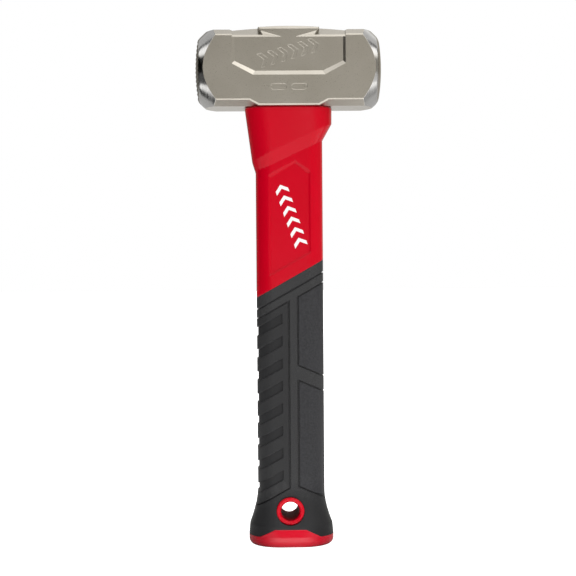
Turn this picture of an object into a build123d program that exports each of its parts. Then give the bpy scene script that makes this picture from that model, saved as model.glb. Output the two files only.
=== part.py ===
from build123d import *
import math
import os

# A 2 lb lump hammer (drilling hammer): a double-faced forged head on a short overmoulded
# handle. Millimetres. The origin is at the centre of the butt's flat underside. +Z runs up
# the handle to the head, X is the striking axis with the milled face at -X and the smooth
# face at +X, and -Y is the front.

# Head
TOTAL_LENGTH = 279.4
HEAD_BOTTOM = 237.0
HEAD_TOP = 278.0
HALF_LENGTH = 50.3
HEAD_THICKNESS = 39.4
CHEEK = HEAD_THICKNESS / 2
STRIKE_HEIGHT = (HEAD_BOTTOM + HEAD_TOP) / 2

# Crowned striking faces, their rounded corners and the bevel turned around the striking axis
CROWN_RISE = 1.2
CROWN_FLAT_RADIUS, CROWN_EDGE_RADIUS = 0.5, 15.5
CORNER_X, CORNER_EDGE_RADIUS = 46.6, 19.0
BEVEL_SLOPE = 1.06
BEVEL_EDGE_RADIUS = 32.0
SMOOTH_END_EXTRA = 0.5

# Milled face: pyramids left between two sets of V grooves that follow the crown
MILL_PITCH = 2.4
MILL_DEPTH = 0.5
MILL_HALF_WIDTH = 1.0
MILL_GROOVES = 13
MILL_SWEEP = 40.0

# Chamfers along the head's four long edges
CHAMFER_HEIGHT = 3.2
CHAMFER_DEPTH = 5.0
CHAMFER_RISE = CHAMFER_HEIGHT / CHAMFER_DEPTH

# Sunk panel on each cheek, open at the top
PANEL_DEPTH = 0.9
PANEL_FACE = CHEEK - PANEL_DEPTH
PANEL_HALF_WIDTH, PANEL_FOOT_HALF_WIDTH = 30.3, 19.3
PANEL_SHOULDER, PANEL_FOOT = 259.4, 253.4
PANEL_SIDE_SLOPE, PANEL_FOOT_SLOPE = 1.3, 2.0
PANEL_CHAMFER_FOOT = 274.3
CHEEK_FILLET, RIM_FILLET, PANEL_FILLET = 1.1, 0.8, 0.5

# Crowned boss over the eye: its own facet, and where the chamfer and facet beside it end
BOSS_EDGE_TOP = 277.4
BOSS_FACET_FOOT = 277.9
BARB_FACET_FOOT = 273.6
FACET_RISE = 1.96
BARB_TIP_HALF_WIDTH, BARB_TOP_HALF_WIDTH, BARB_TOP = 3.7, 17.2, 277.4
BARB_LEAN = 1.6
BOSS_FOOT_HALF_WIDTH, BOSS_TOP_HALF_WIDTH = 13.5, 16.5
BOSS_LEAN = 0.05

# Oblique walls that end the low chamfers beside the lip
LIP_HALF_WIDTH, LIP_FOOT_HALF_WIDTH = 21.8, 16.0
LIP_LEAN = 0.1

# Marks sunk in the cheek: a slanted row of chevrons, and two bars below the panel
MARK_DEPTH = 0.2
MARK_HEIGHT, MARK_TILT = 265.2, 16.0
CHEVRON_COUNT, CHEVRON_PITCH = 6, 5.6
CHEVRON_HEIGHT, CHEVRON_WIDTH, CHEVRON_POINT = 7.4, 2.2, 2.8
BAR_HEIGHT, BAR_PITCH, BAR_LENGTH, BAR_WIDTH = 247.0, 11.0, 8.4, 3.2

# Eye, and what fills it
EYE_WIDTH, EYE_DEPTH, EYE_CORNER = 30.0, 23.0, 9.0
BOND_GAP = 0.7
BOND_TOP = 277.2
TENON_TOP = 250.0

# Fibreglass core
CORE_WIDTH, CORE_DEPTH, CORE_CORNER = 20.0, 15.0, 6.5
CORE_BOTTOM = 34.0

# Handle section, shared by the jacket's neck and the grip, and the shank inside the grip
HANDLE_WIDTH, HANDLE_DEPTH, HANDLE_CORNER = 36.1, 30.0, 9.0
SHANK_WIDTH, SHANK_DEPTH, SHANK_CORNER = 30.0, 24.0, 8.0

# Slanted lines of the handle: each is a height at x = 0 with a rise per millimetre of x
SLANT = 0.5625
SEAM_HEIGHT = 144.6
BAND_SLANT = 0.466
BAND_TOP, BAND_FOOT = 217.2, 210.4

# Collar under the head
COLLAR_LEFT, COLLAR_RIGHT, COLLAR_DEPTH = -23.8, 23.2, 36.0
COLLAR_FOOT_LEFT, COLLAR_FOOT_RIGHT, COLLAR_FOOT_DEPTH = -19.9, 23.2, 33.6
COLLAR_CORNER = 12.0
COLLAR_EDGE = 0.8
BAND_CORNER = 9.6

# Pentagonal panel on the neck
NECK_PANEL_HALF_WIDTH = 11.6
NECK_PANEL_DEPTH, NECK_PANEL_SLOPE = 0.8, 1.2
NECK_PANEL_APEX_X, NECK_PANEL_APEX = 3.0, 208.0
NECK_PANEL_LEFT, NECK_PANEL_RIGHT = 200.3, 202.3
NECK_PANEL_FOOT = 151.9

# Grip: grooves, the outlines of its panels, and the ladder of pads
GROOVE_WIDTH, GROOVE_DEPTH = 0.9, 0.8
RING_GROOVE = 138.4
LEFT_PANEL_EDGE = -0.5
LEFT_PANEL_TOP, LEFT_PANEL_FOOT = 133.4, 33.0
RIGHT_PANEL_EDGE = 3.5
RIGHT_PANEL_TOP, RIGHT_PANEL_WAIST_TOP = 133.0, 100.3
RIGHT_PANEL_WAIST_FOOT, RIGHT_PANEL_FOOT = 92.2, 35.0
WAIST_SLANT = -0.44
PAD_COUNT = 8
PAD_TOP, PAD_PITCH, PAD_HEIGHT = 128.5, 12.04, 5.35
PAD_EDGE = -4.5
PAD_DEPTH = 0.7

# Butt: height, width, depth and corner of each section from the straight grip downwards
FLARE = (
    (30.0, 36.1, 30.0, 9.0),
    (24.0, 37.4, 30.9, 10.2),
    (17.5, 40.6, 33.2, 12.6),
    (11.3, 44.9, 36.6, 16.0),
)
BUTT_WIDTH, BUTT_DEPTH, BUTT_CORNER = 46.0, 38.0, 17.5
CAP_FILLET = 3.4
CAP_TOP, CAP_TAB_TOP = 5.7, 9.9
CAP_TAB_HALF_WIDTH, CAP_TAB_FOOT_HALF_WIDTH = 8.4, 16.6

# Lanyard hole through the butt, a little off centre like the tab of the cap below it
LANYARD_X, LANYARD_HEIGHT = -0.8, 19.5
SLEEVE_RADIUS, BORE_RADIUS = 7.5, 5.0
SLEEVE_LENGTH = 33.2
SLEEVE_MOUTH_FILLET, SLEEVE_EDGE_FILLET = 1.6, 0.7

FAR = 60.0
NEAR = 0.05


def slanted_plane(height, slant):
    """The plane z = height + slant * x, with its local x axis up the slope."""
    return Plane(origin=(0, 0, height), x_dir=(1, 0, slant), z_dir=(-slant, 0, 1))


def handle_section():
    RectangleRounded(HANDLE_WIDTH, HANDLE_DEPTH, HANDLE_CORNER)


def shank_section():
    RectangleRounded(SHANK_WIDTH, SHANK_DEPTH, SHANK_CORNER)


def outline(*points):
    """A face inside the straight lines through the points."""
    Polygon(*points, align=None)


def slanted_strip(left, right, top, slant, height):
    """A strip in the XZ plane from x = left to right, whose upper edge is top + slant * x."""
    outline(
        (left, top + slant * left),
        (right, top + slant * right),
        (right, top + slant * right - height),
        (left, top + slant * left - height),
    )


def upright_strip(left, top, top_slant, foot, foot_slant):
    """A groove's width in the XZ plane, upright between two slanted grooves and joining them."""
    right = left + GROOVE_WIDTH
    outline(
        (left, top + top_slant * left),
        (right, top + top_slant * right),
        (right, foot + foot_slant * right - GROOVE_WIDTH),
        (left, foot + foot_slant * left - GROOVE_WIDTH),
    )


def chevron(width, height, point):
    """A chevron that points along local x, centred where it stands."""
    left, right = (width + point) / -2, (width + point) / 2
    outline(
        (left, height / 2),
        (left + width, height / 2),
        (right, 0),
        (left + width, -height / 2),
        (left, -height / 2),
        (left + point, 0),
    )


def oblique_wall(start, end, lean):
    """A plane that holds the line from start to end on the front and spreads to the -X side
    by lean per millimetre of depth. Its normal is on that side."""
    along = Vector(end[0] - start[0], 0, end[1] - start[1])
    side = along.cross(Vector(0, 1, 0)).normalized()
    if side.X > 0:
        side = -side
    return Plane(origin=(start[0], -PANEL_FACE, start[1]), z_dir=side - Vector(0, lean, 0))


def wedge_section(foot, rise):
    """What a chamfer takes off the panel above its foot, in a YZ plane."""
    outline(
        (-PANEL_FACE, foot),
        (-PANEL_FACE / 2, foot + rise * PANEL_FACE / 2),
        (-PANEL_FACE / 2, HEAD_TOP + FAR),
        (-CHEEK - FAR, HEAD_TOP + FAR),
        (-CHEEK - FAR, foot),
    )


def cheek_panel(inset_side, inset_foot):
    """The outline of the sunk panel, drawn in by its side and foot slopes."""
    side = PANEL_HALF_WIDTH - inset_side
    foot = PANEL_FOOT_HALF_WIDTH - inset_side
    shoulder = PANEL_SHOULDER + inset_side
    outline(
        (-side, HEAD_TOP + FAR),
        (-side, shoulder),
        (-foot, PANEL_FOOT + inset_foot),
        (foot, PANEL_FOOT + inset_foot),
        (side, shoulder),
        (side, HEAD_TOP + FAR),
    )


def neck_panel(inset):
    """The outline of the pentagonal panel, drawn in by its slope."""
    side = NECK_PANEL_HALF_WIDTH - inset
    outline(
        (-side, NECK_PANEL_LEFT - inset),
        (NECK_PANEL_APEX_X, NECK_PANEL_APEX - inset),
        (side, NECK_PANEL_RIGHT - inset),
        (side, NECK_PANEL_FOOT + SLANT * side + inset),
        (-side, NECK_PANEL_FOOT - SLANT * side + inset),
    )


def edges_at(found, depth, low, high):
    """The edges that lie in the planes y = depth and y = -depth between two heights."""
    chosen = ShapeList()
    for edge in found:
        box = edge.bounding_box()
        in_plane = abs(abs(box.min.Y) - depth) < NEAR and abs(abs(box.max.Y) - depth) < NEAR
        if in_plane and box.min.Z > low - NEAR and box.max.Z < high + NEAR:
            chosen.append(edge)
    return chosen


# ---------------------------------------------------------------- head: cutting shapes

# Wedges for the front left quarter. Those beside the boss and the lip end at oblique walls.
with BuildPart() as low_wedge:
    with BuildSketch(Plane.YZ.offset(-HALF_LENGTH)):
        outline(
            (-CHEEK, HEAD_BOTTOM + CHAMFER_HEIGHT),
            (-CHEEK + CHAMFER_DEPTH, HEAD_BOTTOM),
            (-CHEEK + CHAMFER_DEPTH, HEAD_BOTTOM - FAR),
            (-CHEEK - FAR, HEAD_BOTTOM - FAR),
            (-CHEEK - FAR, HEAD_BOTTOM + CHAMFER_HEIGHT),
        )
    extrude(amount=HALF_LENGTH)
    split(
        bisect_by=oblique_wall(
            (-LIP_HALF_WIDTH, HEAD_BOTTOM + CHAMFER_HEIGHT),
            (-LIP_FOOT_HALF_WIDTH, HEAD_BOTTOM),
            LIP_LEAN,
        ),
        keep=Keep.TOP,
    )

with BuildPart() as top_wedge:
    with BuildSketch(Plane.YZ.offset(-HALF_LENGTH)):
        outline(
            (-CHEEK, HEAD_TOP - CHAMFER_HEIGHT),
            (-CHEEK + CHAMFER_DEPTH, HEAD_TOP),
            (-CHEEK + CHAMFER_DEPTH, HEAD_TOP + FAR),
            (-CHEEK - FAR, HEAD_TOP + FAR),
            (-CHEEK - FAR, HEAD_TOP - CHAMFER_HEIGHT),
        )
    extrude(amount=HALF_LENGTH - PANEL_HALF_WIDTH)

# The panel's top chamfer, the shallower facet along its foot, and the boss's own facet
with BuildPart() as panel_wedge:
    with BuildSketch(Plane.YZ.offset(-PANEL_HALF_WIDTH)):
        wedge_section(PANEL_CHAMFER_FOOT, CHAMFER_RISE)
    extrude(amount=PANEL_HALF_WIDTH)
    split(
        bisect_by=oblique_wall(
            (-BOSS_FOOT_HALF_WIDTH, PANEL_CHAMFER_FOOT), (-BOSS_TOP_HALF_WIDTH, TOTAL_LENGTH), BOSS_LEAN
        ),
        keep=Keep.TOP,
    )

with BuildPart() as barb_wedge:
    with BuildSketch(Plane.YZ.offset(-PANEL_HALF_WIDTH)):
        wedge_section(BARB_FACET_FOOT, FACET_RISE)
    extrude(amount=PANEL_HALF_WIDTH)
    split(
        bisect_by=oblique_wall(
            (-BARB_TIP_HALF_WIDTH, BARB_FACET_FOOT), (-BARB_TOP_HALF_WIDTH, BARB_TOP), BARB_LEAN
        ),
        keep=Keep.TOP,
    )

with BuildPart() as boss_wedge:
    with BuildSketch(Plane.YZ.offset(-PANEL_HALF_WIDTH)):
        wedge_section(BOSS_FACET_FOOT, FACET_RISE)
    extrude(amount=PANEL_HALF_WIDTH)

# All of the head's front and back cuts
with BuildPart() as edge_cuts:
    add(low_wedge.part)
    add(top_wedge.part)
    add(panel_wedge.part)
    add(barb_wedge.part)
    add(boss_wedge.part)
    mirror(about=Plane.YZ)
    mirror(about=Plane.XZ)

with BuildPart() as panel_cuts:
    with BuildSketch(Plane.XZ.offset(CHEEK)):
        cheek_panel(0, 0)
    with BuildSketch(Plane.XZ.offset(PANEL_FACE)):
        cheek_panel(PANEL_SIDE_SLOPE, PANEL_FOOT_SLOPE)
    loft(ruled=True)
    mirror(about=Plane.XZ)

# The turned form that rounds the ends. The smooth face is a little fuller than the milled one.
with BuildPart() as turned_form:
    for side, extra in ((1, SMOOTH_END_EXTRA), (-1, 0)):
        with BuildSketch(Plane((0, 0, 0), x_dir=(side, 0, 0), z_dir=(0, -side, 0))):
            with BuildLine():
                crown = TangentArc(
                    (HALF_LENGTH, STRIKE_HEIGHT + CROWN_FLAT_RADIUS),
                    (HALF_LENGTH - CROWN_RISE, STRIKE_HEIGHT + CROWN_EDGE_RADIUS),
                    tangent=(0, 1),
                )
                corner = Spline(
                    crown @ 1,
                    (CORNER_X + extra, STRIKE_HEIGHT + CORNER_EDGE_RADIUS),
                    tangents=(crown % 1, (-BEVEL_SLOPE, 1)),
                )
                bevel_run = BEVEL_SLOPE * (BEVEL_EDGE_RADIUS - CORNER_EDGE_RADIUS)
                Polyline(
                    corner @ 1,
                    (CORNER_X + extra - bevel_run, STRIKE_HEIGHT + BEVEL_EDGE_RADIUS),
                    (0, STRIKE_HEIGHT + BEVEL_EDGE_RADIUS),
                    (0, STRIKE_HEIGHT),
                    (HALF_LENGTH, STRIKE_HEIGHT),
                    crown @ 0,
                )
            make_face()
        revolve(axis=Axis((0, 0, STRIKE_HEIGHT), (1, 0, 0)))

# V grooves of the milled face: rings about axes through the crown's centre
CROWN_RADIUS = (CROWN_EDGE_RADIUS**2 + CROWN_RISE**2) / (2 * CROWN_RISE)
CROWN_CENTRE = CROWN_RADIUS - HALF_LENGTH


def mill_profile(across):
    """One V across the crown, drawn with x as the distance from the crown's centre."""
    ring = math.sqrt(CROWN_RADIUS**2 - across**2)
    outline(
        (ring - MILL_DEPTH, across),
        (ring + MILL_DEPTH, across - 2 * MILL_HALF_WIDTH),
        (ring + MILL_DEPTH, across + 2 * MILL_HALF_WIDTH),
    )


crown_centre = Vector(CROWN_CENTRE, 0, STRIKE_HEIGHT)
low_ray = Vector(-1, 0, 0).rotate(Axis.Y, -MILL_SWEEP / 2)
back_ray = Vector(-1, 0, 0).rotate(Axis.Z, -MILL_SWEEP / 2)
mill_places = [MILL_PITCH * (i - (MILL_GROOVES - 1) / 2) for i in range(MILL_GROOVES)]

with BuildPart() as mill_cuts:
    for across in mill_places:
        with BuildSketch(Plane(crown_centre, x_dir=low_ray, z_dir=low_ray.cross(Vector(0, 1, 0)))):
            mill_profile(across)
        revolve(axis=Axis(crown_centre, (0, 1, 0)), revolution_arc=MILL_SWEEP)
    for across in mill_places:
        with BuildSketch(Plane(crown_centre, x_dir=back_ray, z_dir=back_ray.cross(Vector(0, 0, 1)))):
            mill_profile(across)
        revolve(axis=Axis(crown_centre, (0, 0, 1)), revolution_arc=MILL_SWEEP)

# ---------------------------------------------------------------- head

with BuildPart() as head:
    with BuildSketch(Plane.XZ):
        with BuildLine():
            boss = ThreePointArc(
                (-PANEL_HALF_WIDTH, BOSS_EDGE_TOP),
                (0, TOTAL_LENGTH),
                (PANEL_HALF_WIDTH, BOSS_EDGE_TOP),
            )
            Polyline(
                boss @ 1,
                (PANEL_HALF_WIDTH + PANEL_SIDE_SLOPE, HEAD_TOP),
                (HALF_LENGTH, HEAD_TOP),
                (HALF_LENGTH, HEAD_BOTTOM),
                (-HALF_LENGTH, HEAD_BOTTOM),
                (-HALF_LENGTH, HEAD_TOP),
                (-PANEL_HALF_WIDTH - PANEL_SIDE_SLOPE, HEAD_TOP),
                boss @ 0,
            )
        make_face()
    extrude(amount=CHEEK, both=True)
    add(turned_form.part, mode=Mode.INTERSECT)
    add(edge_cuts.part, mode=Mode.SUBTRACT)
    add(panel_cuts.part, mode=Mode.SUBTRACT)
    fillet(edges_at(edges(), CHEEK, HEAD_TOP - CHAMFER_HEIGHT, HEAD_TOP - CHAMFER_HEIGHT), CHEEK_FILLET)
    fillet(edges_at(edges(), CHEEK, HEAD_BOTTOM, HEAD_BOTTOM + CHAMFER_HEIGHT), CHEEK_FILLET)
    fillet(edges_at(edges(), CHEEK - CHAMFER_DEPTH, HEAD_TOP, HEAD_TOP), RIM_FILLET)
    fillet(edges_at(edges(), CHEEK - CHAMFER_DEPTH, HEAD_BOTTOM, HEAD_BOTTOM), RIM_FILLET)
    fillet(edges_at(edges(), CHEEK, PANEL_FOOT, PANEL_SHOULDER), PANEL_FILLET)
    fillet(edges_at(edges(), PANEL_FACE, PANEL_FOOT, PANEL_SHOULDER + PANEL_SIDE_SLOPE), PANEL_FILLET)
    crown_face = faces().filter_by(GeomType.CYLINDER).sort_by(SortBy.AREA)[-1]
    fillet(crown_face.edges().filter_by(GeomType.ELLIPSE).sort_by(SortBy.LENGTH)[-2:], RIM_FILLET)
    with BuildSketch(Plane.XY.offset(HEAD_BOTTOM)):
        RectangleRounded(EYE_WIDTH, EYE_DEPTH, EYE_CORNER)
    extrude(amount=FAR, mode=Mode.SUBTRACT)
    with BuildSketch(Plane.XZ.offset(CHEEK)):
        with Locations((0, BAR_HEIGHT)):
            with GridLocations(BAR_PITCH, 1, 2, 1):
                SlotOverall(BAR_LENGTH, BAR_WIDTH)
    extrude(amount=-MARK_DEPTH, mode=Mode.SUBTRACT)
    with BuildSketch(Plane.XZ.offset(PANEL_FACE)):
        with Locations(Location((0, MARK_HEIGHT, 0), (0, 0, MARK_TILT))):
            with GridLocations(CHEVRON_PITCH, 1, CHEVRON_COUNT, 1):
                chevron(CHEVRON_WIDTH, CHEVRON_HEIGHT, CHEVRON_POINT)
    extrude(amount=-MARK_DEPTH, mode=Mode.SUBTRACT)
    add(mill_cuts.part, mode=Mode.SUBTRACT)

# ---------------------------------------------------------------- fibreglass core

with BuildPart() as fibreglass_core:
    with BuildSketch(Plane.XY.offset(CORE_BOTTOM)):
        RectangleRounded(CORE_WIDTH, CORE_DEPTH, CORE_CORNER)
    extrude(amount=BOND_TOP - CORE_BOTTOM)

# ---------------------------------------------------------------- handle jacket

with BuildPart() as neck_panel_cuts:
    with BuildSketch(Plane.XZ.offset(HANDLE_DEPTH / 2)):
        neck_panel(0)
    with BuildSketch(Plane.XZ.offset(HANDLE_DEPTH / 2 - NECK_PANEL_DEPTH)):
        neck_panel(NECK_PANEL_SLOPE)
    loft(ruled=True)
    mirror(about=Plane.XZ)

with BuildPart() as handle_jacket:
    with BuildSketch(Plane.XY.offset(CORE_BOTTOM)):
        handle_section()
    extrude(amount=HEAD_BOTTOM - CORE_BOTTOM)
    split(bisect_by=slanted_plane(SEAM_HEIGHT, SLANT), keep=Keep.TOP)
    band_run = math.hypot(1, BAND_SLANT)
    with BuildSketch(Plane.XY.offset(HEAD_BOTTOM)):
        with Locations(((COLLAR_LEFT + COLLAR_RIGHT) / 2, 0)):
            RectangleRounded(COLLAR_RIGHT - COLLAR_LEFT, COLLAR_DEPTH, COLLAR_CORNER)
    with BuildSketch(slanted_plane(BAND_TOP, BAND_SLANT)):
        with Locations(((COLLAR_FOOT_LEFT + COLLAR_FOOT_RIGHT) / 2 * band_run, 0)):
            RectangleRounded(
                (COLLAR_FOOT_RIGHT - COLLAR_FOOT_LEFT) * band_run, COLLAR_FOOT_DEPTH, COLLAR_CORNER
            )
    with BuildSketch(slanted_plane(BAND_FOOT, BAND_SLANT)):
        RectangleRounded(HANDLE_WIDTH * band_run, HANDLE_DEPTH, BAND_CORNER)
    loft(ruled=True)
    chamfer(edges().group_by(Axis.Z)[-1], COLLAR_EDGE)
    with BuildSketch(Plane.XY.offset(CORE_BOTTOM)):
        shank_section()
    extrude(amount=SEAM_HEIGHT - CORE_BOTTOM)
    with BuildSketch(Plane.XY.offset(SEAM_HEIGHT)):
        RectangleRounded(EYE_WIDTH - 2 * BOND_GAP, EYE_DEPTH - 2 * BOND_GAP, EYE_CORNER - BOND_GAP)
    extrude(amount=TENON_TOP - SEAM_HEIGHT)
    add(neck_panel_cuts.part, mode=Mode.SUBTRACT)
    add(fibreglass_core.part, mode=Mode.SUBTRACT)

# ---------------------------------------------------------------- resin in the eye

with BuildPart() as eye_bond:
    with BuildSketch(Plane.XY.offset(HEAD_BOTTOM)):
        RectangleRounded(EYE_WIDTH, EYE_DEPTH, EYE_CORNER)
    extrude(amount=BOND_TOP - HEAD_BOTTOM)
    add(handle_jacket.part, mode=Mode.SUBTRACT)
    add(fibreglass_core.part, mode=Mode.SUBTRACT)

# ---------------------------------------------------------------- butt cap and lanyard sleeve

# The outside of the butt, from the straight grip to the flat underside
with BuildPart() as butt_form:
    for height, width, depth, corner_radius in FLARE:
        with BuildSketch(Plane.XY.offset(height)):
            RectangleRounded(width, depth, corner_radius)
    loft()
    with BuildSketch(Plane.XY.offset(FLARE[-1][0])):
        RectangleRounded(FLARE[-1][1], FLARE[-1][2], FLARE[-1][3])
    with BuildSketch(Plane.XY.offset(CAP_TOP)):
        RectangleRounded(BUTT_WIDTH, BUTT_DEPTH, BUTT_CORNER)
    loft(ruled=True)
    with BuildSketch():
        RectangleRounded(BUTT_WIDTH, BUTT_DEPTH, BUTT_CORNER)
    extrude(amount=CAP_TOP)
    fillet(faces().sort_by(Axis.Z)[0].edges(), CAP_FILLET)

# Everything below the stepped line where the cap meets the grip
with BuildPart() as cap_zone:
    with BuildSketch(Plane.XZ):
        outline(
            (-FAR, -FAR),
            (-FAR, CAP_TOP),
            (LANYARD_X - CAP_TAB_FOOT_HALF_WIDTH, CAP_TOP),
            (LANYARD_X - CAP_TAB_HALF_WIDTH, CAP_TAB_TOP),
            (LANYARD_X + CAP_TAB_HALF_WIDTH, CAP_TAB_TOP),
            (LANYARD_X + CAP_TAB_FOOT_HALF_WIDTH, CAP_TOP),
            (FAR, CAP_TOP),
            (FAR, -FAR),
        )
    extrude(amount=FAR, both=True)

with BuildPart() as lanyard_sleeve:
    with BuildSketch(Plane.XZ.offset(-SLEEVE_LENGTH / 2)):
        with Locations((LANYARD_X, LANYARD_HEIGHT)):
            Circle(SLEEVE_RADIUS)
            Circle(BORE_RADIUS, mode=Mode.SUBTRACT)
    extrude(amount=SLEEVE_LENGTH)
    mouths = edges().filter_by(GeomType.CIRCLE).group_by(SortBy.RADIUS)
    fillet(mouths[0], SLEEVE_MOUTH_FILLET)
    rims = edges().filter_by(GeomType.CIRCLE).group_by(SortBy.RADIUS)
    fillet(rims[-1], SLEEVE_EDGE_FILLET)

with BuildPart() as sleeve_seat:
    with BuildSketch(Plane.XZ):
        with Locations((LANYARD_X, LANYARD_HEIGHT)):
            Circle(SLEEVE_RADIUS)
    extrude(amount=FAR, both=True)

with BuildPart() as butt_cap:
    add(butt_form.part)
    add(cap_zone.part, mode=Mode.INTERSECT)
    with BuildSketch(Plane.XY.offset(CAP_TOP / 2)):
        shank_section()
    extrude(amount=CORE_BOTTOM - CAP_TOP / 2)
    add(sleeve_seat.part, mode=Mode.SUBTRACT)

# ---------------------------------------------------------------- grip

# Grooves and pads, as prisms through the handle less the part of it that they leave
with BuildPart() as groove_cuts:
    with BuildSketch(Plane.XZ):
        slanted_strip(-FAR, FAR, RING_GROOVE, SLANT, GROOVE_WIDTH)
        slanted_strip(-FAR, LEFT_PANEL_EDGE, LEFT_PANEL_TOP, SLANT, GROOVE_WIDTH)
        slanted_strip(-FAR, LEFT_PANEL_EDGE, LEFT_PANEL_FOOT, SLANT, GROOVE_WIDTH)
        slanted_strip(RIGHT_PANEL_EDGE, FAR, RIGHT_PANEL_TOP, SLANT, GROOVE_WIDTH)
        slanted_strip(RIGHT_PANEL_EDGE, FAR, RIGHT_PANEL_WAIST_TOP, WAIST_SLANT, GROOVE_WIDTH)
        slanted_strip(RIGHT_PANEL_EDGE, FAR, RIGHT_PANEL_WAIST_FOOT, WAIST_SLANT, GROOVE_WIDTH)
        slanted_strip(RIGHT_PANEL_EDGE, FAR, RIGHT_PANEL_FOOT, WAIST_SLANT, GROOVE_WIDTH)
        upright_strip(LEFT_PANEL_EDGE - GROOVE_WIDTH, LEFT_PANEL_TOP, SLANT, LEFT_PANEL_FOOT, SLANT)
        upright_strip(RIGHT_PANEL_EDGE, RIGHT_PANEL_TOP, SLANT, RIGHT_PANEL_WAIST_TOP, WAIST_SLANT)
        upright_strip(
            RIGHT_PANEL_EDGE, RIGHT_PANEL_WAIST_FOOT, WAIST_SLANT, RIGHT_PANEL_FOOT, WAIST_SLANT
        )
    extrude(amount=FAR, both=True)
    with BuildSketch():
        handle_section()
        offset(amount=-GROOVE_DEPTH, mode=Mode.REPLACE)
    extrude(amount=HEAD_BOTTOM, mode=Mode.SUBTRACT)

with BuildPart() as pad_cuts:
    with BuildSketch(Plane.XZ):
        for i in range(PAD_COUNT):
            slanted_strip(-FAR, PAD_EDGE, PAD_TOP - i * PAD_PITCH, SLANT, PAD_HEIGHT)
    extrude(amount=FAR, both=True)
    with BuildSketch():
        handle_section()
        offset(amount=-PAD_DEPTH, mode=Mode.REPLACE)
    extrude(amount=HEAD_BOTTOM, mode=Mode.SUBTRACT)

with BuildPart() as grip:
    with BuildSketch(Plane.XY.offset(FLARE[0][0])):
        handle_section()
    extrude(amount=HEAD_BOTTOM - FLARE[0][0])
    split(bisect_by=slanted_plane(SEAM_HEIGHT, SLANT), keep=Keep.BOTTOM)
    add(butt_form.part)
    add(cap_zone.part, mode=Mode.SUBTRACT)
    add(groove_cuts.part, mode=Mode.SUBTRACT)
    add(pad_cuts.part, mode=Mode.SUBTRACT)
    with BuildSketch():
        shank_section()
    extrude(amount=HEAD_BOTTOM, mode=Mode.SUBTRACT)
    add(sleeve_seat.part, mode=Mode.SUBTRACT)

# ---------------------------------------------------------------- files

os.makedirs("parts", exist_ok=True)

head.part.label = "head"
export_step(head.part, "parts/head.step")

fibreglass_core.part.label = "fibreglass_core"
export_step(fibreglass_core.part, "parts/fibreglass_core.step")

handle_jacket.part.label = "handle_jacket"
export_step(handle_jacket.part, "parts/handle_jacket.step")

eye_bond.part.label = "eye_bond"
export_step(eye_bond.part, "parts/eye_bond.step")

butt_cap.part.label = "butt_cap"
export_step(butt_cap.part, "parts/butt_cap.step")

lanyard_sleeve.part.label = "lanyard_sleeve"
export_step(lanyard_sleeve.part, "parts/lanyard_sleeve.step")

grip.part.label = "grip"
export_step(grip.part, "parts/grip.step")
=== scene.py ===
import math

import bmesh
import bpy
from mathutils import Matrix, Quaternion, Vector

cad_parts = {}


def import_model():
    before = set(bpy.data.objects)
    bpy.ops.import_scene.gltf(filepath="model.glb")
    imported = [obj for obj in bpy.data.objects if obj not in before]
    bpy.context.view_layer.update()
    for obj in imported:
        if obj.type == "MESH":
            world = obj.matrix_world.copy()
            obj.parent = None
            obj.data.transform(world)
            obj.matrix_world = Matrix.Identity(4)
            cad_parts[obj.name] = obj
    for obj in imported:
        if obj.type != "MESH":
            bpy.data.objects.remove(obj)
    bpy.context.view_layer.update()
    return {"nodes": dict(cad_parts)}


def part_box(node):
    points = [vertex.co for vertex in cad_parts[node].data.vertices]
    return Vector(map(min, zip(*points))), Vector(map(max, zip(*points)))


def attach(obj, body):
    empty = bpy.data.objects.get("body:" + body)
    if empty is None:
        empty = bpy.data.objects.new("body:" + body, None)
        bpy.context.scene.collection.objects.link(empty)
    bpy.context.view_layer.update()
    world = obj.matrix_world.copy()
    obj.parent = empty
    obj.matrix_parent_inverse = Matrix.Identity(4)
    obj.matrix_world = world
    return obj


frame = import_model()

NODES = frame["nodes"]
MM = 0.001


# ---------------------------------------------------------------- materials

# Most of a noise texture's values lie between these.
NOISE_LOW, NOISE_HIGH = 0.3, 0.7
BEVEL_SAMPLES = 6


class Graph:
    """Short forms for building a node tree."""

    def __init__(self, tree):
        self.tree = tree
        self.tree.nodes.clear()

    def add(self, kind, **settings):
        node = self.tree.nodes.new(kind)
        for key, value in settings.items():
            setattr(node, key, value)
        return node

    def link(self, output, socket):
        self.tree.links.new(output, socket)

    def feed(self, socket, value):
        """Link a socket's value, or set a number."""
        if hasattr(value, "is_linked"):
            self.link(value, socket)
        else:
            socket.default_value = value

    def map_range(self, value, start, end, low, high, **settings):
        """Low at the start and high at the end."""
        node = self.add("ShaderNodeMapRange", **settings)
        names = ("From Min", "From Max", "To Min", "To Max")
        for name, number in zip(names, (start, end, low, high)):
            node.inputs[name].default_value = number
        self.link(value, node.inputs[0])
        return node.outputs[0]

    def maths(self, operation, *values):
        node = self.add("ShaderNodeMath", operation=operation)
        for socket, value in zip(node.inputs, values):
            self.feed(socket, value)
        return node.outputs[0]

    def coordinates(self, kind):
        """The x, y and z of a texture coordinate."""
        node = self.add("ShaderNodeSeparateXYZ")
        self.link(self.add("ShaderNodeTexCoord").outputs[kind], node.inputs[0])
        return node.outputs


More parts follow.
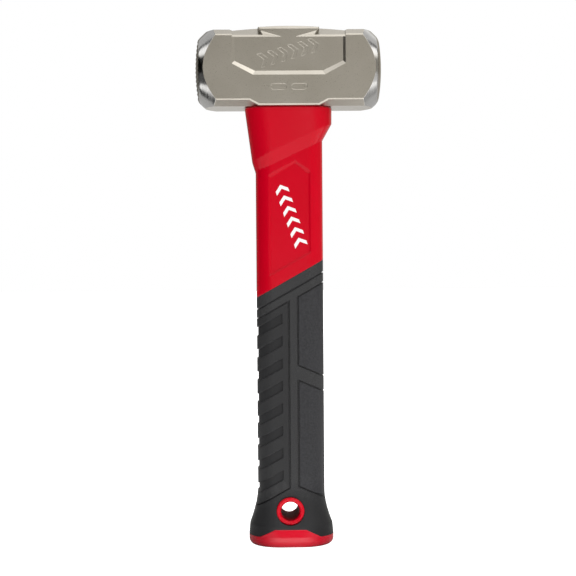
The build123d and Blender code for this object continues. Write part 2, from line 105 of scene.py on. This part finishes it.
class Nodes(Graph):
    """One material's node tree around a Principled shader."""

    def __init__(self, name):
        self.material = bpy.data.materials.new(name)
        self.material.use_nodes = True
        super().__init__(self.material.node_tree)
        self.shader = self.add("ShaderNodeBsdfPrincipled")
        out = self.add("ShaderNodeOutputMaterial")
        self.link(self.shader.outputs[0], out.inputs["Surface"])
        self.place = self.add("ShaderNodeTexCoord").outputs["Object"]

    def noise(self, scale, detail=3.0, rough=0.5, stretch=(1, 1, 1)):
        mapping = self.add("ShaderNodeMapping")
        mapping.inputs["Scale"].default_value = stretch
        self.link(self.place, mapping.inputs["Vector"])
        node = self.add("ShaderNodeTexNoise")
        node.inputs["Scale"].default_value = scale
        node.inputs["Detail"].default_value = detail
        node.inputs["Roughness"].default_value = rough
        self.link(mapping.outputs[0], node.inputs["Vector"])
        return node.outputs["Fac"]

    def painted_shade_below(self, value, low, high, amount):
        """The value, less an amount that fades out from one height of the object to another:
        painted shade, darker below.
        """
        height = self.coordinates("Object")[2]
        return self.maths("SUBTRACT", value, self.map_range(height, low, high, amount, 0.0))

    def ramp(self, value, low, high):
        """One colour where a noise is low, and another where it is high."""
        node = self.add("ShaderNodeValToRGB")
        stops = node.color_ramp.elements
        stops[0].position, stops[1].position = NOISE_LOW, NOISE_HIGH
        stops[0].color = (*low, 1)
        stops[1].color = (*high, 1)
        self.link(value, node.inputs[0])
        return node.outputs[0]

    def span(self, value, low, high):
        """One number where a noise is low, and another where it is high."""
        return self.map_range(value, NOISE_LOW, NOISE_HIGH, low, high)

    def bump(self, height, distance, strength=1.0, normal=None):
        node = self.add("ShaderNodeBump")
        node.inputs["Distance"].default_value = distance
        node.inputs["Strength"].default_value = strength
        self.link(height, node.inputs["Height"])
        if normal is not None:
            self.link(normal, node.inputs["Normal"])
        return node.outputs[0]

    def rounded(self, radius):
        """The normal, with the edges softened."""
        node = self.add("ShaderNodeBevel", samples=BEVEL_SAMPLES)
        node.inputs["Radius"].default_value = radius
        return node.outputs[0]

    def set(self, **values):
        """The shader's inputs by name: a number is set on the socket itself."""
        for key, value in values.items():
            self.feed(self.shader.inputs[key.replace("_", " ")], value)


def cheek_steel():
    """Blasted and nickel-coated forging: satin, with a fine grain and faint clouds."""
    n = Nodes("cheek_steel")
    grain = n.noise(2600, 2.0)
    cloud = n.noise(45, 5.0, 0.6)
    n.set(
        Base_Color=n.ramp(cloud, (0.43, 0.40, 0.345), (0.47, 0.44, 0.385)),
        Metallic=1.0,
        Roughness=n.span(grain, 0.27, 0.35),
        Normal=n.bump(grain, 0.00001, 0.5, n.rounded(0.0003)),
    )
    return n.material


def turned_steel():
    """Polished ends, with fine turning marks around the striking axis."""
    n = Nodes("turned_steel")
    rings = n.noise(2600, 2.0, stretch=(1, 0.02, 0.02))
    cloud = n.noise(120, 3.0)
    n.set(
        Base_Color=n.ramp(cloud, (0.59, 0.58, 0.56), (0.67, 0.66, 0.64)),
        Metallic=1.0,
        Roughness=n.span(rings, 0.10, 0.20),
        Normal=n.bump(rings, 0.000004, 0.5, n.rounded(0.0003)),
    )
    return n.material


def red_plastic(name, dark, light, smooth, rough, specular):
    """Glass-filled moulding: satin, with a fine spark-eroded grain."""
    n = Nodes(name)
    grain = n.noise(1800, 2.0)
    cloud = n.noise(30, 3.0)
    n.set(
        Base_Color=n.ramp(cloud, dark, light),
        Roughness=n.span(grain, smooth, rough),
        Specular_IOR_Level=specular,
        Normal=n.bump(grain, 0.00001, 0.4, n.rounded(0.0009)),
    )
    return n.material


def rubber(name, dark, light, specular, grain_scale, grain_height):
    """Matt overmoulded rubber with a sand-like grain, with painted shade making it darker towards
    the butt.
    """
    n = Nodes(name)
    grain = n.noise(grain_scale, 2.0, 0.6)
    n.set(
        # Painted shade: the base colour is darkened towards the butt.
        Base_Color=n.ramp(n.painted_shade_below(grain, 0.016, 0.036, 0.4), dark, light),
        Roughness=n.span(grain, 0.42, 0.60),
        Specular_IOR_Level=specular,
        Normal=n.bump(grain, grain_height, 0.6, n.rounded(0.0007)),
    )
    return n.material


def resin():
    """Cast resin around the tenon, a little uneven."""
    n = Nodes("resin")
    cloud = n.noise(150, 4.0)
    n.set(
        Base_Color=n.ramp(cloud, (0.035, 0.032, 0.028), (0.06, 0.055, 0.045)),
        Roughness=n.span(cloud, 0.25, 0.45),
        Normal=n.bump(cloud, 0.0002, 0.3),
    )
    return n.material


def fibreglass():
    """The sawn end of the pultruded rod: strands end on, as fine speckles."""
    n = Nodes("fibreglass")
    strand = n.noise(1500, 3.0)
    n.set(
        Base_Color=n.ramp(strand, (0.42, 0.38, 0.24), (0.68, 0.64, 0.48)),
        Roughness=n.span(strand, 0.45, 0.7),
        Normal=n.bump(strand, 0.0001, 0.4),
    )
    return n.material


def white_ink():
    """Pad-printed ink, thin enough for the plastic's grain to show."""
    n = Nodes("white_ink")
    grain = n.noise(1800, 2.0)
    n.set(
        Base_Color=n.ramp(grain, (0.78, 0.77, 0.76), (0.86, 0.86, 0.86)),
        Roughness=n.span(grain, 0.35, 0.5),
        Normal=n.bump(grain, 0.00002, 0.3),
    )
    return n.material


SATIN_RED = red_plastic("satin_red", (0.48, 0.0, 0.009), (0.52, 0.0, 0.012), 0.16, 0.24, 0.15)
GLOSSY_RED = red_plastic("glossy_red", (0.48, 0.0, 0.012), (0.52, 0.0, 0.015), 0.14, 0.22, 0.33)
# Painted shade: a darker copy of the red, also rougher, for inside the lanyard hole.
SHADED_BORE_RED = red_plastic("bore_red_painted_shade", (0.20, 0.0, 0.004), (0.26, 0.0, 0.006), 0.6, 0.7, 0.1)
FINISHES = {
    "head": [cheek_steel(), turned_steel()],
    "eye_bond": [resin()],
    "fibreglass_core": [fibreglass()],
    "handle_jacket": [SATIN_RED],
    "grip": [
        rubber("stem_rubber", (0.006, 0.006, 0.007), (0.036, 0.036, 0.037), 0.35, 2200, 0.00004),
        rubber("panel_rubber", (0.011, 0.011, 0.013), (0.027, 0.027, 0.030), 0.33, 1100, 0.00012),
        # Painted shade: the ladder on the grip's left side is a darker copy of the rubber.
        rubber("ladder_rubber_painted_shade", (0.010, 0.010, 0.011), (0.018, 0.018, 0.019), 0.33, 2200, 0.00004),
        # Painted shade: the sunk pads are darker still, as shade in their recesses; their finer
        # grain and weaker sheen are real.
        rubber("pad_rubber_painted_shade", (0.007, 0.007, 0.008), (0.012, 0.012, 0.013), 0.29, 2600, 0.00003),
    ],
    "butt_cap": [GLOSSY_RED],
    "lanyard_sleeve": [SATIN_RED, SHADED_BORE_RED],
}
for name, materials in FINISHES.items():
    mesh = NODES[name].data
    mesh.materials.clear()
    for material in materials:
        mesh.materials.append(material)

# The head's turned ends are polished. Their faces lie on a revolved form, on or outside a cone
# about the striking axis, and every other face of the head lies nearer the middle.
CONE_X, CONE_RADIUS, CONE_SLOPE = 46.6 * MM, 19.0 * MM, 1.06
SMOOTH_END_EXTRA, CONE_TOLERANCE = 0.5 * MM, 0.1 * MM
TURNED_END_TILT = 0.2
head_low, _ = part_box("head")
AXIS_Z = head_low.z + 20.5 * MM
for face in NODES["head"].data.polygons:
    spot = face.center
    radius = math.hypot(spot.y, spot.z - AXIS_Z)
    cone = CONE_X - (radius - CONE_RADIUS) * CONE_SLOPE
    if spot.x > 0:
        cone += SMOOTH_END_EXTRA
    if abs(spot.x) > cone - CONE_TOLERANCE and abs(face.normal.x) > TURNED_END_TILT:
        face.material_index = 1

# The grip's two right-hand panels have a coarser grain. Its ladder, on the left, is darker as
# painted shade on that side, and the sunk pads in it, with a finer grain, are darker still as
# painted shade in their recesses. A panel lies right of its upright groove and between two slanted
# ones, each given by its height at the middle and its slope. Lengths are in millimetres.
HANDLE_HALF_WIDTH, HANDLE_HALF_DEPTH, HANDLE_CORNER = 18.05, 15.0, 9.0
PANEL_LEFT = 4.0
PANELS = (((133.0, 0.5625), (100.3, -0.44)), ((92.2, -0.44), (35.0, -0.44)))
PAD_RIGHT, PAD_INSET = -4.5, 0.7
LADDER_RIGHT, LADDER_FOOT, LADDER_TOP, LADDER_SLANT = -2.0, 36.0, 134.0, 0.5625
SURFACE_TOLERANCE, PAD_TOLERANCE = 0.2, 0.06


def depth_below_handle(x, y):
    """How far a point lies inside the handle's rounded section."""
    across = abs(x) - (HANDLE_HALF_WIDTH - HANDLE_CORNER)
    deep = abs(y) - (HANDLE_HALF_DEPTH - HANDLE_CORNER)
    corner = math.hypot(max(across, 0), max(deep, 0))
    return HANDLE_CORNER - corner - min(max(across, deep), 0)


for face in NODES["grip"].data.polygons:
    x, y, z = face.center / MM
    below = depth_below_handle(x, y)
    if below < SURFACE_TOLERANCE:
        for (top, top_slope), (foot, foot_slope) in PANELS:
            if x > PANEL_LEFT and foot + foot_slope * x < z < top + top_slope * x:
                face.material_index = 1
        if x < LADDER_RIGHT and LADDER_FOOT < z - LADDER_SLANT * x < LADDER_TOP:
            face.material_index = 2
    if x < PAD_RIGHT and abs(below - PAD_INSET) < PAD_TOLERANCE:
        face.material_index = 3

# The lanyard hole is as moulded inside, not polished, and its red is painted darker there as
# shade.
BORE_X, BORE_HEIGHT, BORE_RADIUS, BORE_TOLERANCE = -0.8, 19.5, 5.0, 0.05
for face in NODES["lanyard_sleeve"].data.polygons:
    x, y, z = face.center / MM
    if math.hypot(x - BORE_X, z - BORE_HEIGHT) < BORE_RADIUS + BORE_TOLERANCE:
        face.material_index = 1


# ---------------------------------------------------------------- printed marks on the neck

MARK_PLANE, MARK_THICKNESS = 14.2 * MM, 0.12 * MM
MARK_CENTRE_X, MARK_CENTRE_Z = 0.6 * MM, 178.4 * MM
MARK_COUNT, MARK_PITCH, MARK_TILT = 6, 6.0 * MM, math.radians(108.7)
MARK_WIDTH, MARK_HEIGHT, MARK_POINT = 2.2 * MM, 7.0 * MM, 2.8 * MM


def mark_outline(along, side):
    """One chevron's corners as x and z, at a distance along the slanted row."""
    start, half = (MARK_WIDTH + MARK_POINT) / -2, MARK_HEIGHT / 2
    shape = (
        (start, half),
        (start + MARK_WIDTH, half),
        (start + MARK_WIDTH + MARK_POINT, 0),
        (start + MARK_WIDTH, -half),
        (start, -half),
        (start + MARK_POINT, 0),
    )
    cos, sin = math.cos(MARK_TILT), math.sin(MARK_TILT)
    for u, v in shape:
        x = MARK_CENTRE_X + (along + u) * cos - v * sin
        z = MARK_CENTRE_Z + (along + u) * sin + v * cos
        yield x * side, z


def printed_marks():
    """A slanted row of plain chevrons, on the panels of the neck's front and back."""
    bm = bmesh.new()
    for side in (1, -1):
        inner, outer = -side * MARK_PLANE, -side * (MARK_PLANE + MARK_THICKNESS)
        for i in range(MARK_COUNT):
            points = list(mark_outline((i - (MARK_COUNT - 1) / 2) * MARK_PITCH, side))
            front = [bm.verts.new((x, outer, z)) for x, z in points]
            back = [bm.verts.new((x, inner, z)) for x, z in points]
            bm.faces.new(front)
            bm.faces.new(list(reversed(back)))
            for k in range(len(points)):
                after = (k + 1) % len(points)
                bm.faces.new((front[after], front[k], back[k], back[after]))
    bmesh.ops.recalc_face_normals(bm, faces=bm.faces)
    mesh = bpy.data.meshes.new("neck_marks")
    bm.to_mesh(mesh)
    bm.free()
    mesh.materials.append(white_ink())
    obj = bpy.data.objects.new("neck_marks", mesh)
    bpy.context.scene.collection.objects.link(obj)
    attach(obj, "root")


printed_marks()


# ---------------------------------------------------------------- stage, lights and camera

# The world's brightness by direction: low, middle and high in front, then each side and the back
FRONT_LEVEL, BAND_LEVEL, TOP_LEVEL = 0.42, 3.0, 0.74
LEFT_LEVEL, RIGHT_LEVEL = 0.02, 1.4
GAP_LEVEL, BACK_LEVEL, BACKDROP = 0.05, 0.40, 0.5
# What is left of it towards the left and the right
LEFT_FILL, GLOSSY_LEFT_FILL, RIGHT_FILL, FAR_RIGHT_FILL = 0.15, 0.45, 0.8, 0.65
# The colour of the low light, which is warm, and of the rest
WARM, NEUTRAL = (1.0, 0.95, 0.84, 1.0), (1.0, 1.0, 1.0, 1.0)
# The floor's own light: around the object, close in front of it, and as the camera sees it
FLOOR_GLOW, NEAR_GLOW, FLOOR_SEEN = 1.2, 3.0, 1.2
FLOOR_HALF_SIDE, PAPER = 6.0, 0.49

KEY_PLACE, KEY_TARGET = (0.75, -0.65, 0.75), (0, 0, 0.15)
KEY_SIZE, KEY_POWER = (0.9, 0.7), 1.3

CAMERA_DISTANCE, CAMERA_AZIMUTH, CAMERA_HEIGHT = 0.85, math.radians(-1.3), 0.1573
AIM_X, AIM_HEIGHT, ROLL = -0.0009, 0.1393, math.radians(0.42)
SENSOR_WIDTH, PICTURE_WIDTH, MILLIMETRES_PER_PIXEL = 36.0, 576, 0.546


class Sky(Graph):
    """A node tree for light that depends on place or direction."""

    def step(self, value, start, end, low, high):
        """Low up to the start and high from the end, with a smooth change between them."""
        return self.map_range(value, start, end, low, high, interpolation_type="SMOOTHSTEP")

    def product(self, first, *others):
        for value in others:
            first = self.maths("MULTIPLY", first, value)
        return first

    def brightest(self, first, *others):
        for value in others:
            first = self.maths("MAXIMUM", first, value)
        return first

    def distance(self, a, b):
        squares = self.maths("ADD", self.maths("MULTIPLY", a, a), self.maths("MULTIPLY", b, b))
        return self.maths("SQRT", squares)


def floor():
    """Pale paper with its own soft light and two dark cards, all plain white to the camera."""
    side = FLOOR_HALF_SIDE
    corners = [(-side, -side, 0), (side, -side, 0), (side, side, 0), (-side, side, 0)]
    mesh = bpy.data.meshes.new("floor")
    mesh.from_pydata(corners, [], [(0, 1, 2, 3)])
    obj = bpy.data.objects.new("floor", mesh)
    bpy.context.scene.collection.objects.link(obj)
    material = bpy.data.materials.new("floor_paper")
    material.use_nodes = True
    g = Sky(material.node_tree)
    paper = g.add("ShaderNodeBsdfPrincipled")
    g.link(paper.outputs[0], g.add("ShaderNodeOutputMaterial").inputs["Surface"])
    x, y, _ = g.coordinates("Object")
    aside = g.maths("ABSOLUTE", x)

    # Light around the object and in front of it, a little of it straight behind, none far left
    glow = g.product(
        g.step(g.distance(x, y), 0.05, 0.20, 0.0, FLOOR_GLOW),
        g.brightest(g.step(y, 0.13, 0.17, 1.0, 0.0), g.step(aside, 0.15, 0.25, 0.25, 0.0)),
        g.step(x, -0.80, -0.68, 0.0, 1.0),
        g.step(x, -0.45, -0.25, 0.72, 1.0),
        g.step(x, 0.88, 1.0, 1.0, 0.2),
    )
    # A bright spot close in front of the butt, for the light on its lower edge
    near = g.distance(x, g.maths("ADD", y, 0.06))
    seen = g.maths("MULTIPLY", FLOOR_SEEN, g.add("ShaderNodeLightPath").outputs["Is Camera Ray"])
    glow = g.brightest(glow, g.step(near, 0.015, 0.05, NEAR_GLOW, 0.0), seen)
    g.link(glow, paper.inputs["Emission Strength"])
    paper.inputs["Emission Color"].default_value = NEUTRAL

    # The dark cards give the polished ends their streaks. One is a strip behind the object,
    # darker on the left, with a gap in the middle. The other lies far to the left.
    strip = g.brightest(
        g.step(y, 0.14, 0.17, 1.0, 0.0),
        g.step(y, 0.23, 0.28, 0.0, 1.0),
        g.step(x, -0.1, 0.1, 0.0, 0.6),
        g.step(aside, 0.15, 0.25, 1.0, 0.0),
    )
    g.link(g.product(strip, g.step(x, -0.82, -0.70, 0.1, 1.0), PAPER), paper.inputs["Base Color"])
    paper.inputs["Roughness"].default_value = 0.9
    mesh.materials.append(material)


def world():
    """A softbox studio: bright above and below the camera, dim behind it, dark at both sides."""
    studio = bpy.data.worlds.new("studio")
    studio.use_nodes = True
    g = Sky(studio.node_tree)
    x, y, z = g.coordinates("Generated")
    height = g.maths("ABSOLUTE", z)
    ray = g.add("ShaderNodeLightPath").outputs

    # Around the camera: dim in a band at its height, bright above and below it
    front = g.product(
        g.step(height, 0.30, 0.46, FRONT_LEVEL, BAND_LEVEL),
        g.step(height, 0.66, 0.78, 1.0, TOP_LEVEL),
    )
    # Both sides: cards at the object's height, a black one on the left
    low_band = g.step(height, 0.34, 0.48, 1.0, 0.0)
    left = g.product(g.step(x, -0.70, -0.45, 1.0, 0.0), low_band)
    right = g.product(g.step(x, 0.66, 0.84, 0.0, 1.0), low_band)
    sides = g.product(
        g.step(left, 0.0, 1.0, 1.0, LEFT_LEVEL),
        g.step(right, 0.0, 1.0, 1.0, RIGHT_LEVEL),
    )
    # Behind the object: dimmer, past a narrow dark gap, but not overhead
    back = g.brightest(
        g.step(y, 0.31, 0.36, 1.0, GAP_LEVEL),
        g.step(y, 0.41, 0.47, 0.0, BACK_LEVEL),
        g.step(height, 0.78, 0.92, 0.0, 1.0),
    )
    level = g.product(
        front,
        sides,
        back,
        g.step(x, 0.15, 0.45, 1.0, RIGHT_FILL),
        g.step(x, 0.40, 0.62, 1.0, FAR_RIGHT_FILL),
    )
    level = g.brightest(level, g.step(y, 0.38, 0.62, 0.0, BACKDROP))
    # Weaker from the left, more so for matt surfaces than for polished ones
    polished = g.product(GLOSSY_LEFT_FILL, ray["Is Glossy Ray"])
    level = g.product(level, g.brightest(g.step(x, -0.8, 0.5, LEFT_FILL, 1.0), polished))

    # The camera itself sees plain white
    background = g.add("ShaderNodeBackground")
    g.link(g.brightest(level, ray["Is Camera Ray"]), background.inputs["Strength"])
    tint = g.add("ShaderNodeValToRGB")
    for stop, place, colour in zip(tint.color_ramp.elements, (0.30, 0.46), (WARM, NEUTRAL)):
        stop.position = place
        stop.color = colour
    g.link(g.brightest(height, ray["Is Camera Ray"]), tint.inputs[0])
    g.link(tint.outputs[0], background.inputs["Color"])
    g.link(background.outputs[0], g.add("ShaderNodeOutputWorld").inputs["Surface"])
    bpy.context.scene.world = studio


def key_light():
    """A soft light from the upper right, for the roundness of the handle."""
    data = bpy.data.lights.new("key", "AREA")
    data.shape = "RECTANGLE"
    data.size, data.size_y = KEY_SIZE
    data.energy = KEY_POWER
    light = bpy.data.objects.new("key", data)
    light.location = KEY_PLACE
    aim = Vector(KEY_TARGET) - Vector(KEY_PLACE)
    light.rotation_euler = aim.to_track_quat("-Z", "Y").to_euler()
    bpy.context.scene.collection.objects.link(light)


def camera():
    """The photograph's view: from the front, a little left and above, with a slight roll."""
    data = bpy.data.cameras.new("camera")
    data.sensor_width = SENSOR_WIDTH
    data.lens = SENSOR_WIDTH * CAMERA_DISTANCE / (MILLIMETRES_PER_PIXEL * MM * PICTURE_WIDTH)
    cam = bpy.data.objects.new("camera", data)
    bpy.context.scene.collection.objects.link(cam)
    cam.location = (
        AIM_X + CAMERA_DISTANCE * math.sin(CAMERA_AZIMUTH),
        -CAMERA_DISTANCE * math.cos(CAMERA_AZIMUTH),
        CAMERA_HEIGHT,
    )
    aim = Vector((AIM_X, 0, AIM_HEIGHT)) - cam.location
    cam.rotation_mode = "QUATERNION"
    cam.rotation_quaternion = aim.to_track_quat("-Z", "Y") @ Quaternion((0, 0, 1), -ROLL)
    bpy.context.scene.camera = cam


floor()
world()
key_light()
camera()
bpy.context.scene.view_settings.view_transform = "Standard"
